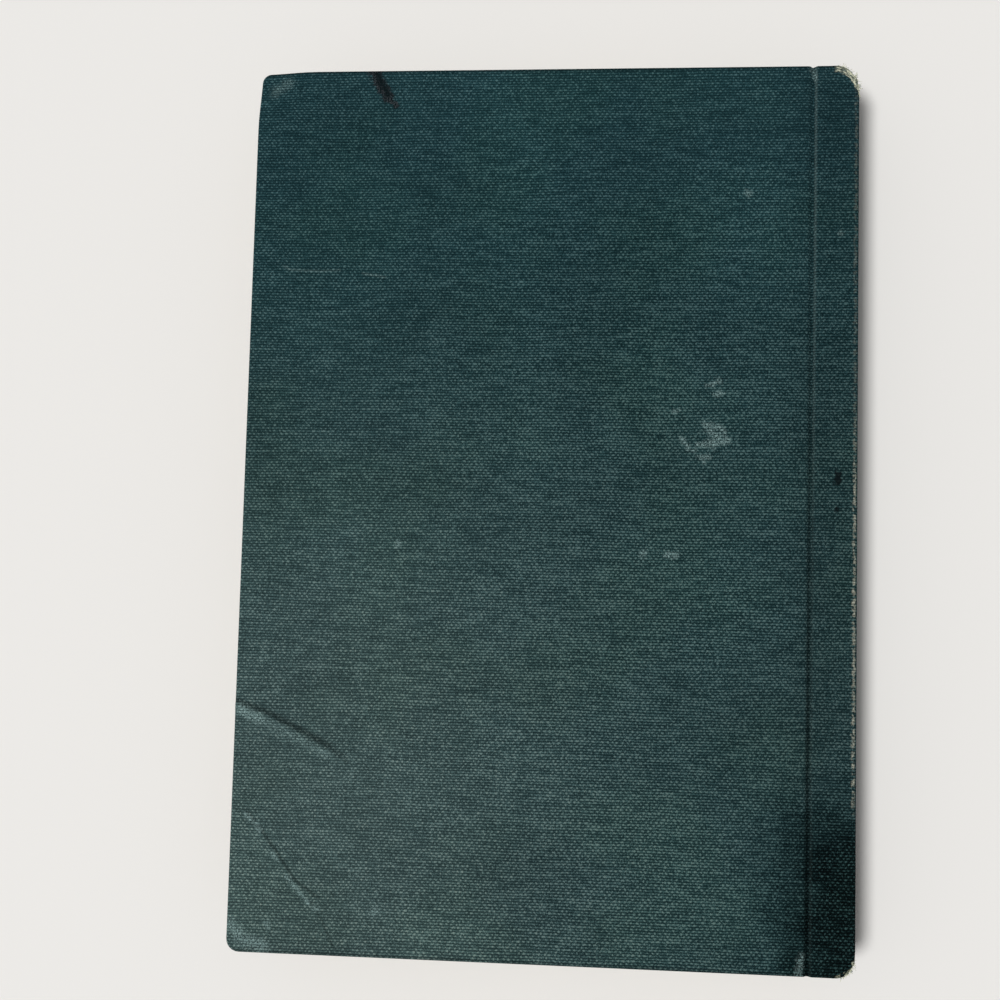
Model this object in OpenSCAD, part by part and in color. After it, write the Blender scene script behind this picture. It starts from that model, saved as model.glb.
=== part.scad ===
// A hardback book, lying closed: cloth over boards, a flat back, and a narrow groove
// pressed along each joint. All sizes are in millimetres.
//
// X runs from the fore-edge (-X) to the back (+X), Y from the tail (-Y) to the head (+Y).
// Z runs up from the front cover, which lies underneath, to the back cover on top.
// The origin is the middle of the underside. Every piece of a cover is drawn once, for the
// front cover, and mirrored to the top for the back cover.

/* [Case] */
// Width of the closed book, from the fore-edge to the outside of the back
cover_w = 130; // [100:1:180]
// Height of the covers, from tail to head
cover_h = 190; // [140:1:260]
// Thickness of the closed book
book_t = 20; // [14:0.5:45]
// Thickness of a board
board_t = 2.2; // [1.5:0.1:3.2]
// Thickness of the covering cloth
cloth_t = 0.35; // [0.25:0.05:0.5]
// Width of the cloth turned in over the inside of the boards and the back
turn_in = 15; // [10:1:22]
// Radius of the boards' corners at the fore-edge
corner_r = 2.2; // [0.8:0.1:4]

/* [Joint] */
// Width of the flat cloth strip between the groove and the outside of the back
strip_w = 9; // [7:0.5:14]
// Width of the groove pressed beside each board
groove_w = 1.3; // [1:0.1:2.4]
// Depth of the groove
groove_d = 1; // [0.6:0.1:1.4]
// Running gap between a cover's cloth and the cloth of the groove
joint_gap = 0.3; // [0.2:0.05:0.5]
// Height of the hinge line outside the cloth, so that an open cover clears the strip
hinge_lift = 0.15; // [0.1:0.05:0.4]

/* [Back] */
// Thickness of the card that stiffens the back
inlay_t = 0.9; // [0.5:0.1:1.6]
// Thickness of the paper lining glued to the back of the pages
lining_t = 0.25; // [0.15:0.05:0.5]
// Free gap between the lining and the cloth turned in behind the card
hollow_gap = 0.05; // [0.02:0.01:0.3]
// Radius of the worn corner of the cloth at the head of the back
worn_head_r = 5; // [2:0.5:6]
// Radius of the worn corner of the cloth at the tail of the back
worn_tail_r = 4; // [2:0.5:6]

/* [Pages] */
// How far the covers stand past the pages at the head, tail and fore-edge
square_w = 3; // [2:0.5:5]
// Thickness of the end papers
paper_t = 0.15; // [0.1:0.01:0.3]
// Thickness of the open-weave mull on the back of the pages
mull_t = 0.25; // [0.15:0.05:0.4]
// How far the mull reaches across the inside of a board
mull_reach = 22; // [12:1:32]
// Distance from the turned-in cloth to the mull's ends
mull_clear = 1; // [0.5:0.5:6]
// Distance from the ends of the pages to the lining's ends
lining_clear = 1; // [0.5:0.5:6]

/* [Sewing] */
// Number of sewing stations along the back
stations = 5; // [3:1:9]
// Distance of the first and last station from the ends of the pages
kettle_in = 14; // [8:1:20]
// Diameter of the linen thread
thread_d = 0.5; // [0.3:0.05:0.8]
// Clearance of the thread in its kerf
kerf_clear = 0.05; // [0.02:0.01:0.1]
// Distance from the flat sides of the pages to the first and last stitch
stitch_in = 0.8; // [0.4:0.1:1.5]

/* [Hidden] */
$fn = 64;
// Overshoot of a cutting solid past the face that it cuts
over = 1;

// Outline of the case
fore_x = -cover_w / 2;
back_x = cover_w / 2;
half_h = cover_h / 2;

// Joint: the groove runs from the cover's cloth to the strip's cloth
groove_x0 = back_x - strip_w - groove_w;
groove_x1 = back_x - strip_w;
board_x1 = groove_x0 - cloth_t;
shoulder_x = groove_x1 + cloth_t;
hinge_x = (groove_x0 + groove_x1) / 2;

// Heights in the front cover, counted up from its outside
board_top = cloth_t + board_t;
under_t = max(cloth_t, mull_t);
cover_in = board_top + under_t + paper_t;
page_z0 = cover_in + paper_t;
shoulder_z = cloth_t + under_t;

// Layers of the back, counted in from its outside
inlay_x1 = back_x - cloth_t;
inlay_x0 = inlay_x1 - inlay_t;
tongue_x0 = inlay_x0 - cloth_t;
lining_x1 = tongue_x0 - hollow_gap;
lining_x0 = lining_x1 - lining_t;
page_x1 = lining_x0 - mull_t;
page_x0 = fore_x + square_w;

// Heights along Y
page_y = half_h - square_w;
turn_y = half_h - turn_in;
mull_y = turn_y - mull_clear;
lining_y = page_y - lining_clear;

// Kerfs of the sewing
kerf_w = thread_d + 2 * kerf_clear;
station_y0 = -page_y + kettle_in;
station_step = (2 * page_y - 2 * kettle_in) / (stations - 1);

// A box from its lowest corner to its highest
module block(low, high) {
    translate(low) cube(high - low);
}

// Outline of a board, rounded at the fore-edge and drawn in from the case by inset
module board_outline(inset, x1) {
    r = max(corner_r - inset, 0.1);
    x0 = fore_x + inset;
    y1 = half_h - inset;
    translate([x0 + r, -y1]) square([x1 - x0 - r, 2 * y1]);
    translate([x0, r - y1]) square([x1 - x0, 2 * (y1 - r)]);
    for (y = [r - y1, y1 - r]) translate([x0 + r, y]) circle(r);
}

// One end of the back's outline, from the middle up to y1, with a worn corner of radius r
module worn_end(x0, x1, y1, r) {
    translate([x0, -over]) square([x1 - x0, y1 - r + over]);
    translate([x0, -over]) square([x1 - r - x0, y1 + over]);
    intersection() {
        translate([x1 - r, y1 - r]) circle(r);
        translate([x0, 0]) square([x1 - x0, y1]);
    }
}

// Outline of the back and its strips, worn at head and tail, drawn in by inset
module back_outline(inset) {
    x1 = back_x - inset;
    y1 = half_h - inset;
    worn_end(groove_x1, x1, y1, worn_head_r - inset);
    mirror([0, 1]) worn_end(groove_x1, x1, y1, worn_tail_r - inset);
}

// Turns a piece of the front cover over, into its place in the back cover
module on_back() {
    translate([0, 0, book_t]) mirror([0, 0, 1]) children();
}

// The board of one cover
module board() {
    translate([0, 0, cloth_t])
        linear_extrude(board_t) board_outline(cloth_t, board_x1);
}

// The cloth turned in over three inside edges of a board, reaching up to the height top,
// with its inner edges drawn inwards by spread
module turned_in(top, spread) {
    difference() {
        translate([0, 0, board_top])
            linear_extrude(top - board_top) board_outline(cloth_t, board_x1);
        block(
            [fore_x + turn_in + spread, spread - turn_y, board_top - over],
            [board_x1 + over, turn_y - spread, top + over]
        );
    }
}

// The cloth of one cover: outside, edges, turn-ins, and a lip that dips into the groove
module board_cloth() {
    difference() {
        union() {
            linear_extrude(board_top) board_outline(0, groove_x0);
            translate([0, 0, board_top])
                linear_extrude(cloth_t) board_outline(0, board_x1);
        }
        board();
        block(
            [fore_x + turn_in, -turn_y, board_top - over],
            [groove_x0 + over, turn_y, board_top + cloth_t + over]
        );
        block(
            [board_x1, -half_h - over, groove_d + cloth_t],
            [groove_x0 + over, half_h + over, board_top + cloth_t + over]
        );
    }
}

// The mull glued across the inside of one board, up to the height top
module mull_flange(top, spread) {
    block(
        [board_x1 - mull_reach - spread, -mull_y - spread, board_top],
        [board_x1, mull_y + spread, top]
    );
}

// The paper pasted inside one cover: it steps over the turned-in cloth and the mull
module pastedown() {
    difference() {
        intersection() {
            block([page_x0, -page_y, board_top], [board_x1, page_y, cover_in]);
            union() {
                block(
                    [page_x0, -page_y, board_top],
                    [board_x1, page_y, board_top + paper_t]
                );
                turned_in(board_top + cloth_t + paper_t, paper_t);
                mull_flange(board_top + mull_t + paper_t, paper_t);
            }
        }
        turned_in(board_top + cloth_t, 0);
        mull_flange(board_top + mull_t, 0);
    }
}

// The free leaf of one end paper, lying on the pages
module flyleaf() {
    block([page_x0, -page_y, cover_in], [groove_x0 + cloth_t, page_y, page_z0]);
}

// The pages, with shoulders at the back that stand out as far as the boards
module text_block() {
    flare_z = (page_z0 + shoulder_z) / 2;
    low_half = [
        [page_x0, page_z0],
        [groove_x0 + cloth_t, page_z0],
        [shoulder_x, flare_z],
        [shoulder_x, shoulder_z],
        [page_x1, shoulder_z]
    ];
    high_half = [for (i = [4:-1:0]) [low_half[i][0], book_t - low_half[i][1]]];
    color("antiquewhite")
        difference() {
            rotate([90, 0, 0])
                linear_extrude(2 * page_y, center = true)
                    polygon(concat(low_half, high_half));
            for (i = [0:stations - 1])
                block(
                    [page_x1 - kerf_w, station_y(i) - kerf_w / 2, page_z0 + stitch_in],
                    [page_x1 + over, station_y(i) + kerf_w / 2, book_t - page_z0 - stitch_in]
                );
        }
}

// Place of a sewing station along Y
function station_y(i) = station_y0 + i * station_step;

// The linen thread where it crosses the back at each station
module sewing_thread() {
    run_z0 = page_z0 + stitch_in + kerf_clear;
    color("linen")
        for (i = [0:stations - 1])
            translate([page_x1 - kerf_w / 2, station_y(i), run_z0])
                cylinder(d = thread_d, h = book_t - 2 * run_z0, $fn = 24);
}

// The mull over the back of the pages and both shoulders
module mull() {
    mull_z0 = shoulder_z - mull_t;
    color("wheat")
        difference() {
            block([shoulder_x, -mull_y, mull_z0], [lining_x0, mull_y, book_t - mull_z0]);
            block(
                [shoulder_x - over, -mull_y - over, shoulder_z],
                [page_x1, mull_y + over, book_t - shoulder_z]
            );
        }
}

// The paper glued over the mull, along the back of the pages
module spine_lining() {
    color("tan")
        block([lining_x0, -lining_y, shoulder_z], [lining_x1, lining_y, book_t - shoulder_z]);
}

// The card inside the cloth of the back, worn at its ends to the cloth's outline
module inlay_shape() {
    intersection() {
        block([inlay_x0, -half_h, cloth_t], [inlay_x1, half_h, book_t - cloth_t]);
        linear_extrude(book_t) back_outline(cloth_t);
    }
}

module spine_inlay() { color("burlywood") inlay_shape(); }

// The cloth of the back and of both strips, turned in at the head and the tail
module spine_cloth() {
    color("darkslategray") {
        difference() {
            linear_extrude(book_t) back_outline(0);
            block(
                [groove_x1 - over, -half_h - over, shoulder_z],
                [tongue_x0, half_h + over, book_t - shoulder_z]
            );
            block(
                [groove_x1 - over, -turn_y, cloth_t],
                [inlay_x0, turn_y, book_t - cloth_t]
            );
            inlay_shape();
        }
        groove_cloth();
        on_back() groove_cloth();
    }
}

// The cloth that turns down from a strip and lines the bottom of the groove
module groove_cloth() {
    block([groove_x1, -half_h, 0], [shoulder_x, half_h, groove_d + cloth_t]);
    block(
        [groove_x0 + joint_gap, -half_h, groove_d],
        [shoulder_x, half_h, groove_d + cloth_t]
    );
}

module front_flyleaf() { color("cornsilk") flyleaf(); }
module back_flyleaf() { color("cornsilk") on_back() flyleaf(); }
module front_board() { color("darkkhaki") board(); }
module back_board() { color("darkkhaki") on_back() board(); }
module front_board_cloth() { color("darkslategray") board_cloth(); }
module back_board_cloth() { color("darkslategray") on_back() board_cloth(); }
module front_mull_flange() { color("wheat") mull_flange(board_top + mull_t, 0); }
module back_mull_flange() { color("wheat") on_back() mull_flange(board_top + mull_t, 0); }
module front_pastedown() { color("cornsilk") pastedown(); }
module back_pastedown() { color("cornsilk") on_back() pastedown(); }

echo(hinge_lines_mm = [[hinge_x, -hinge_lift], [hinge_x, book_t + hinge_lift]]);

text_block();
sewing_thread();
mull();
spine_lining();
spine_inlay();
spine_cloth();
front_flyleaf();
back_flyleaf();
front_board();
back_board();
front_board_cloth();
back_board_cloth();
front_mull_flange();
back_mull_flange();
front_pastedown();
back_pastedown();
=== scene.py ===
# %% [markdown]
# # A cloth-bound book
# The book lies closed on its front cover, with its back cover up, its head at +Y and its
# back at +X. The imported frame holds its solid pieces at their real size. This script dresses
# them: it wraps the boards in woven cloth, fans the pages, papers the joints and gives every
# piece that stays a finish of its own. Shapes are worked out in millimetres and turned into
# metres when a piece is finished.

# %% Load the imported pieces
import math
import random

import bmesh
import bpy
from mathutils import Matrix, Vector, noise


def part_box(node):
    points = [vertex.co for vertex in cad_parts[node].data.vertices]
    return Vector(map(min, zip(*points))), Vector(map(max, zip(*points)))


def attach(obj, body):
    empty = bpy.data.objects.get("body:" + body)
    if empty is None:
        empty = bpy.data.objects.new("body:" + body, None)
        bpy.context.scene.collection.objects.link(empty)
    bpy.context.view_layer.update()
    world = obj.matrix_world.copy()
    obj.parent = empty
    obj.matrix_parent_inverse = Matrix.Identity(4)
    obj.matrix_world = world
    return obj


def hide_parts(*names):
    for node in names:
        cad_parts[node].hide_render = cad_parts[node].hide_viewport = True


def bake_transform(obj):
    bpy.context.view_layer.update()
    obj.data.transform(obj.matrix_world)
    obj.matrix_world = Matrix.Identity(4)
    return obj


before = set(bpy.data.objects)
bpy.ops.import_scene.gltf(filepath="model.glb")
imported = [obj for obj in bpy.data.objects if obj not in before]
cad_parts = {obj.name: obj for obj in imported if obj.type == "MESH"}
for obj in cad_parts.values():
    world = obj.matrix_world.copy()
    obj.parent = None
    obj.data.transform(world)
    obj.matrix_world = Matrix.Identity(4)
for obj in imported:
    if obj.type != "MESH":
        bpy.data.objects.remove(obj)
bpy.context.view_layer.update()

MM = 0.001


def box_mm(node):
    """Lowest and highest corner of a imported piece, in millimetres."""
    low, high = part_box(node)
    return low / MM, high / MM


# %% [markdown]
# ## Camera
# The book was seen from about 34 cm above, a little to the right of its middle and below it,
# with a slight roll. A camera matrix is made from its own right, up and backward directions,
# which is plainer than turning it by three angles.

# %% Camera
EYE = Vector((25.79, -30.97, 361.82)) * MM
AIM = Vector((-9.46, 1.01, 20.0)) * MM
ROLL = math.radians(1.44)
LENS_MM = 58.68
SENSOR_MM = 36
NEAREST = 0.01

forward = (AIM - EYE).normalized()
sideways = forward.cross(Vector((0, 1, 0))).normalized()
upright = sideways.cross(forward)
right = sideways * math.cos(ROLL) + upright * math.sin(ROLL)
up = upright * math.cos(ROLL) - sideways * math.sin(ROLL)
turned = Matrix((right, up, -forward)).transposed().to_4x4()

camera_data = bpy.data.cameras.new("camera")
camera_data.sensor_width = SENSOR_MM
camera_data.lens = LENS_MM
camera_data.clip_start = NEAREST
camera = bpy.data.objects.new("camera", camera_data)
camera.matrix_world = Matrix.Translation(EYE) @ turned
bpy.context.scene.collection.objects.link(camera)
bpy.context.scene.camera = camera
print("camera is", round((AIM - EYE).length, 3), "m from the cover")

# %% [markdown]
# ## Writing shaders as sums
# A weave is easiest to think of as arithmetic on the two directions of the cloth. The class
# below wraps one socket of a material, so that `1 - mask` or `a * b` adds the Math nodes that
# work it out. Every other node comes from `node`: its settings first, then its sockets.

# %% A socket that does sums
class Wire:
    """One output of a material's nodes."""

    def __init__(self, tree, socket):
        self.tree = tree
        self.socket = socket

    def node(self, kind, settings=None, inputs=None, output=0):
        """Adds a node with its settings, then the value or wire of each input."""
        made = self.tree.nodes.new(kind)
        for name, setting in (settings or {}).items():
            setattr(made, name, setting)
        for name, value in (inputs or {}).items():
            if isinstance(value, Wire):
                self.tree.links.new(value.socket, made.inputs[name])
            else:
                made.inputs[name].default_value = value
        return Wire(self.tree, made.outputs[output])

    def math(self, operation, *values):
        return self.node("ShaderNodeMath", {"operation": operation}, dict(enumerate(values)))

    def vector(self, operation, *values, output=0):
        inputs = dict(enumerate(values))
        return self.node("ShaderNodeVectorMath", {"operation": operation}, inputs, output)

    def __add__(self, other):
        return self.math("ADD", self, other)

    __radd__ = __add__

    def __sub__(self, other):
        return self.math("SUBTRACT", self, other)

    def __rsub__(self, other):
        return self.math("SUBTRACT", other, self)

    def __mul__(self, other):
        return self.math("MULTIPLY", self, other)

    __rmul__ = __mul__

    def __truediv__(self, other):
        return self.math("DIVIDE", self, other)

    def axis(self, index):
        """One coordinate of a vector."""
        return self.node("ShaderNodeSeparateXYZ", inputs={0: self}, output=index)

    x = property(lambda self: self.axis(0))
    y = property(lambda self: self.axis(1))
    z = property(lambda self: self.axis(2))

    def ramp(self, low, high):
        """0 at low and 1 at high, eased at both ends; low may be the larger."""
        settings = {"interpolation_type": "SMOOTHSTEP"}
        return self.node("ShaderNodeMapRange", settings, {0: self, 1: low, 2: high})

    def noises(self, scale, detail, dimensions="2D"):
        """Three smooth noises around 0.5, as a vector; scale is features for each unit."""
        inputs = {"Vector": self, "Scale": scale, "Detail": detail}
        return self.node("ShaderNodeTexNoise", {"noise_dimensions": dimensions}, inputs, "Color")

    def absolute(self):
        return self.math("ABSOLUTE", self)

    def cosine(self):
        return self.math("COSINE", self)

    def rounded(self):
        return self.math("ROUND", self)

    def at_least(self, other):
        return self.math("MAXIMUM", self, other)

    def times(self, other):
        """This colour multiplied by another, channel by channel."""
        other = other if isinstance(other, Wire) else (*other, 1)
        settings = {"data_type": "RGBA", "blend_type": "MULTIPLY"}
        return self.node("ShaderNodeMix", settings, {0: 1.0, 6: self, 7: other}, 2)

    def mix(self, first, second):
        """A colour from first to second as this number goes from 0 to 1."""
        colours = [c if isinstance(c, Wire) else (*c, 1) for c in (first, second)]
        inputs = {0: self, 6: colours[0], 7: colours[1]}
        return self.node("ShaderNodeMix", {"data_type": "RGBA"}, inputs, 2)

    def place(self, x, y, z=0.0):
        """A vector from three numbers or wires."""
        return self.node("ShaderNodeCombineXYZ", inputs={0: x, 1: y, 2: z})

    def distance_to(self, points):
        """Distance from this place to a line through flat points."""
        nearest = None
        for (x0, y0), (x1, y1) in zip(points, points[1:]):
            run = Vector((x1 - x0, y1 - y0, 0))
            offset = self.vector("SUBTRACT", self, (x0, y0, 0))
            share = self.vector("DOT_PRODUCT", offset, run / run.length_squared, output=1)
            share = self.node("ShaderNodeClamp", inputs={0: share})
            foot = self.node("ShaderNodeVectorMath", {"operation": "SCALE"}, {0: run, 3: share})
            length = self.vector("DISTANCE", offset, foot, output=1)
            nearest = length if nearest is None else self.math("MINIMUM", nearest, length)
        return nearest


def new_material(name, roughness, **fixed):
    """A material with one Principled shader; returns it, its shader and a wire to start from."""
    material = bpy.data.materials.new(name)
    material.use_nodes = True
    shader = material.node_tree.nodes["Principled BSDF"]
    shader.inputs["Roughness"].default_value = roughness
    for socket, value in fixed.items():
        shader.inputs[socket.replace("_", " ")].default_value = value
    return material, shader, Wire(material.node_tree, shader.outputs[0])


def dress(shader, colour, height, depth_mm):
    """Gives a shader its colour, and height, from 0 to 1, as a relief that is depth_mm deep."""
    bump = height.node("ShaderNodeBump", inputs={"Height": height, "Distance": depth_mm * MM})
    height.tree.links.new(colour.socket, shader.inputs["Base Color"])
    height.tree.links.new(bump.socket, shader.inputs["Normal"])


# %% [markdown]
# ## Light and floor
# A broad, distant lamp high on the left gives the groove and the creases their light and dark
# sides, and lights the floor evenly. The world fills in the rest. Only the camera and mirrors
# see the world as near white, so the background stays pale without adding light.

# %% Light and floor
scene = bpy.context.scene
scene.view_settings.view_transform = "Standard"

FILL = 0.28
BACKDROP = 0.93
world = bpy.data.worlds.new("studio")
world.use_nodes = True
scene.world = world
sky = world.node_tree
sky.nodes.clear()
wire = Wire(sky, None)
seen = wire.node("ShaderNodeLightPath", output="Is Camera Ray")
for kind in ("Is Glossy Ray", "Is Transmission Ray"):
    seen = seen.at_least(wire.node("ShaderNodeLightPath", output=kind))
levels = {"Value": seen, "To Min": FILL, "To Max": BACKDROP}
strength = wire.node("ShaderNodeMapRange", inputs=levels)
glow = wire.node("ShaderNodeBackground", inputs={"Color": (1, 1, 1, 1), "Strength": strength})
sky_output = sky.nodes.new("ShaderNodeOutputWorld")
sky.links.new(glow.socket, sky_output.inputs["Surface"])

KEY_FROM = Vector((-0.26, -0.11, 1.10))
KEY_WIDTH = 11.5
KEY_STRENGTH = 2.45
key_data = bpy.data.lights.new("key", "SUN")
key_data.angle = math.radians(KEY_WIDTH)
key_data.energy = KEY_STRENGTH
key = bpy.data.objects.new("key", key_data)
key.location = KEY_FROM
key.rotation_euler = KEY_FROM.to_track_quat("Z", "Y").to_euler()
scene.collection.objects.link(key)

FLOOR_HALF = 4.0
floor_mesh = bpy.data.meshes.new("floor")
floor_bm = bmesh.new()
bmesh.ops.create_grid(floor_bm, x_segments=1, y_segments=1, size=FLOOR_HALF)
floor_bm.to_mesh(floor_mesh)
floor_bm.free()
floor = bpy.data.objects.new("floor", floor_mesh)
scene.collection.objects.link(floor)
print("key lamp", KEY_STRENGTH, "over", KEY_WIDTH, "degrees, fill", FILL)

# %% [markdown]
# The floor is clear from underneath, so that the front cover can be looked at from below. It
# also lets light through that bounces less than 6 mm to its upper side, because the face that
# the book lies on would otherwise be black.

# %% Floor finish
FLOOR_COLOUR = (0.78, 0.765, 0.74)
CLOSE_BY = 0.006
floor_material, floor_shader, wire = new_material("pale_floor", 0.7)
floor_shader.inputs["Base Color"].default_value = (*FLOOR_COLOUR, 1)
underside = wire.node("ShaderNodeNewGeometry", output="Backfacing")
clear = wire.node("ShaderNodeBsdfTransparent")
bounced = wire.node("ShaderNodeLightPath", output="Is Diffuse Ray")
length = wire.node("ShaderNodeLightPath", output="Ray Length")
close_by = bounced * length.math("LESS_THAN", length, CLOSE_BY)
see_through = underside.at_least(close_by)
either = wire.node("ShaderNodeMixShader", inputs={0: see_through, 1: wire, 2: clear})
floor_output = floor_material.node_tree.nodes["Material Output"]
floor_material.node_tree.links.new(either.socket, floor_output.inputs["Surface"])
floor_mesh.materials.append(floor_material)

# %% [markdown]
# ## Book cloth
# The covering is a plain weave: each weft thread runs along the width of the cover, over one
# warp thread and under the next, and the next weft thread does the opposite. Two cosines,
# one across the warp and one across the weft, give that checker of crossings when they are
# multiplied. They are positive where the weft lies on top, which is where the cloth catches
# the light. All of it is counted in millimetres on the cloth as it lay flat before it was
# glued, so the threads run unbroken round the edges, through the grooves and over the back.
# Real thread wanders, thickens and thins, so slow noise moves the rows and brightens some.

# %% Weave
WARP_PITCH = 0.53
WEFT_PITCH = 0.60
# The first colour below is painted shade in the gaps between threads, the middle one the dyed
# thread, the last a painted highlight on the crests.
GAP_SHADE = (0.0045, 0.0175, 0.0205)
THREAD = (0.0270, 0.0730, 0.0800)
CREST_HIGHLIGHT = (0.082, 0.152, 0.154)

cloth, cloth_shader, wire = new_material("book_cloth", 0.88, Specular_IOR_Level=0.03)
flat = wire.node("ShaderNodeAttribute", {"attribute_name": "weave"}, output="Vector")
edge = wire.node("ShaderNodeAttribute", {"attribute_name": "edge"}, output="Fac")
wander = flat.vector("MULTIPLY", flat, (0.03, 0.06, 1)).noises(1.0, 1.0)
u = flat.x + wander.x * 1.6
v = flat.y + wander.y * 0.9

row = (v / WEFT_PITCH).rounded()
slow = flat.place(u * 0.16, row * 7.3).noises(1.0, 1.0)
fast = flat.place(u * 0.80, row * 5.1).noises(1.0, 0.0)
fuzz = flat.noises(3.2, 1.0)
u = u + fast.x * 0.42 + fuzz.x * 0.30
v = v + (fuzz.y - 0.5) * 0.46
across = (u * (math.pi / WARP_PITCH)).cosine()
along = (v * (math.pi / WEFT_PITCH)).cosine()
run = fast.y.ramp(0.52, 0.80)
run = run.at_least(slow.z.ramp(0.58, 0.70) * 0.85)
row_body = along.absolute().ramp(0.20 - slow.y * 0.30, 0.97)
weft_over = (across * along).ramp(-0.10 - run * 0.8, 0.95)
slub = slow.x.ramp(0.25, 0.78)
cell = flat.place((u / WARP_PITCH).rounded(), row)
crossing = cell.node("ShaderNodeTexWhiteNoise", {"noise_dimensions": "2D"}, {"Vector": cell})
shine = crossing + run * (0.80 - crossing)
body = (0.20 + row_body * 0.80) * (0.36 + weft_over * (0.16 + shine * 0.62))
body = body * (0.76 + slub * 0.48) * (fuzz.z * 2.30 - 0.10)
print("warp every", WARP_PITCH, "mm, weft every", WEFT_PITCH, "mm")

# %% [markdown]
# ## Wear on the cloth
# Marks are drawn on the flat cloth as lines with a width. Noise breaks them up, and rubbing
# shows on the crests of the threads before it reaches the gaps between them.

# %% Wear
# The first colour is both rubbed thread and painted light on the raised folds and on the strip's
# flank.
RUBBED_AND_LIT = (0.26, 0.38, 0.37)
BARE = (0.66, 0.67, 0.50)
WORN_PALE = (0.42, 0.42, 0.34)
SOIL = (0.003, 0.005, 0.006)
SOIL_SPECK = (0.050, 0.054, 0.060)
grain = flat.noises(0.9, 1.0)
shifted = flat.vector("SUBTRACT", flat, (0.7, 0.7, 0))
ragged = flat.vector("MULTIPLY_ADD", grain, (1.4, 1.4, 0), shifted)
speckle = fuzz.z


def stroke(points, width, place=ragged):
    """1 on a line through flat points, fading to 0 at width from it."""
    return place.distance_to(points).ramp(width, 0.0)


def spot(x, y, width):
    """1 at a flat point, fading to 0 at width from it."""
    return ragged.vector("DISTANCE", ragged, (x, y, 0), output=1).ramp(width, 0.0)


def strongest(masks):
    """The largest of several masks at each place."""
    top = masks[0]
    for mask in masks[1:]:
        top = top.at_least(mask)
    return top


SCRATCH = [(-58.0, 51.4), (-56.4, 50.5), (-50.0, 50.3), (-45.6, 50.5)]
SCRATCH_END = [(-40.5, 49.8), (-35.6, 49.0)]
FOLD_1 = [(-64.8, -42.7), (-57.6, -45.0), (-50.6, -48.4), (-44.5, -51.5), (-40.6, -54.4)]
FOLD_2 = [(-61.5, -65.9), (-57.7, -70.2), (-54.6, -74.2), (-50.9, -79.5), (-45.5, -83.2)]
FOLD_2_END = [(-46.9, -84.1), (-44.6, -88.0), (-42.1, -93.2)]
CREASE_1 = [(x - 0.3, y - 0.9) for x, y in FOLD_1]
CREASE_2 = [(x - 0.5, y - 0.5) for x, y in FOLD_2]

scratch = strongest([stroke(SCRATCH, 0.42, flat), stroke(SCRATCH_END, 0.5, flat)])
rubbing_and_fold_light = strongest([
    # The first marks follow the lower sides of the two folds: partly worn crests, partly painted
    # light on the side of each raised fold that faces the lamp.
    stroke([(-64.3, -44.3), (-59.5, -46.5)], 1.9),
    stroke([(-59.5, -46.5), (-51.1, -50.3), (-45.0, -53.4)], 1.6) * 0.42,
    stroke([(-61.7, -66.4), (-58.5, -69.7)], 0.8),
    stroke([(-55.9, -74.2), (-54.3, -75.8)], 0.8) * 0.8,
    stroke([(-52.7, -79.0), (-47.7, -84.2)], 0.8),
    spot(-45.9, -85.4, 1.2),
    stroke([(-64.0, -89.1), (-61.9, -92.2), (-57.0, -93.4)], 2.2) * 0.95,
    stroke([(-61.9, 90.6), (-58.6, 92.8)], 2.1) * 0.42,
    spot(-56.3, -89.1, 1.3) * 0.8,
    stroke([(33.4, 17.6), (36.9, 16.9)], 1.1) * 0.85,
    stroke([(34.4, 16.1), (36.1, 15.1), (34.4, 13.5)], 1.3),
    stroke([(37.3, 16.3), (37.7, 14.4)], 0.9),
    stroke([(32.2, 13.3), (35.0, 13.4), (38.3, 14.2)], 1.0),
    stroke([(28.7, 14.7), (30.0, 12.6)], 0.9),
    stroke([(32.3, 10.8), (34.3, 10.6)], 0.9) * 0.8,
    stroke([(26.9, 20.3), (28.0, 20.7)], 0.8) * 0.8,
    stroke([(35.6, 24.1), (36.8, 24.3)], 1.0),
    stroke([(33.8, 25.8), (36.4, 26.9)], 0.9) * 0.85,
    spot(35.4, 12.4, 0.9) * 0.7,
    spot(31.1, 12.1, 0.9) * 0.8,
    spot(33.1, 9.7, 0.9) * 0.8,
    spot(21.0, -9.8, 1.4),
    stroke([(25.9, -9.9), (27.5, -9.9)], 1.2),
    spot(-31.0, -8.7, 1.3) * 0.8,
    spot(41.8, 67.2, 1.3) * 0.9,
    spot(62.2, 58.5, 1.1) * 0.7,
    spot(-33.7, -85.5, 1.8) * 0.7,
    stroke([(53.4, -95.8), (54.4, -90.8)], 1.3) * 0.75,
    stroke([(55.1, 95.0), (56.5, 92.2)], 1.2) * 0.75,
])
rubbing_and_fold_light = rubbing_and_fold_light * speckle.ramp(0.34, 0.56)
soiled = strongest([
    stroke([(-39.9, 95.6), (-37.9, 91.8), (-36.3, 89.1)], 2.1),
    stroke([(-36.3, 89.1), (-34.5, 87.2)], 1.0) * 0.85,
    stroke([(61.9, 7.7), (61.8, 5.8)], 1.1),
    spot(61.7, 0.2, 1.0),
])
soiled = (soiled + (speckle - 0.5) * 1.3).ramp(0.10, 0.62) * soiled.ramp(0.0, 0.15)
soil_core = strongest([
    stroke([(-39.3, 95.6), (-37.7, 92.2), (-36.3, 89.6)], 1.3),
    flat.x.ramp(50.0, 55.0),
])
fold_shade = strongest([
    stroke(FOLD_1[:4], 1.15, flat) * 0.50,
    stroke(FOLD_1[3:], 1.0, flat) * 0.24,
    stroke(FOLD_2, 0.60, flat) * 0.40,
    stroke(FOLD_2_END, 0.55, flat) * 0.25,
])
# The cloth is darker and less red in a patch towards the tail end of the back and its strip.
blotches = flat.noises(0.16, 2.0)
dark_patch_u = flat.x + (blotches.x - 0.5) * 16.0
dark_patch_v = flat.y + (blotches.y - 0.5) * 14.0
dark_patch = dark_patch_u.ramp(38.0, 61.0) * dark_patch_v.ramp(-50.0, -73.0)
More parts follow.
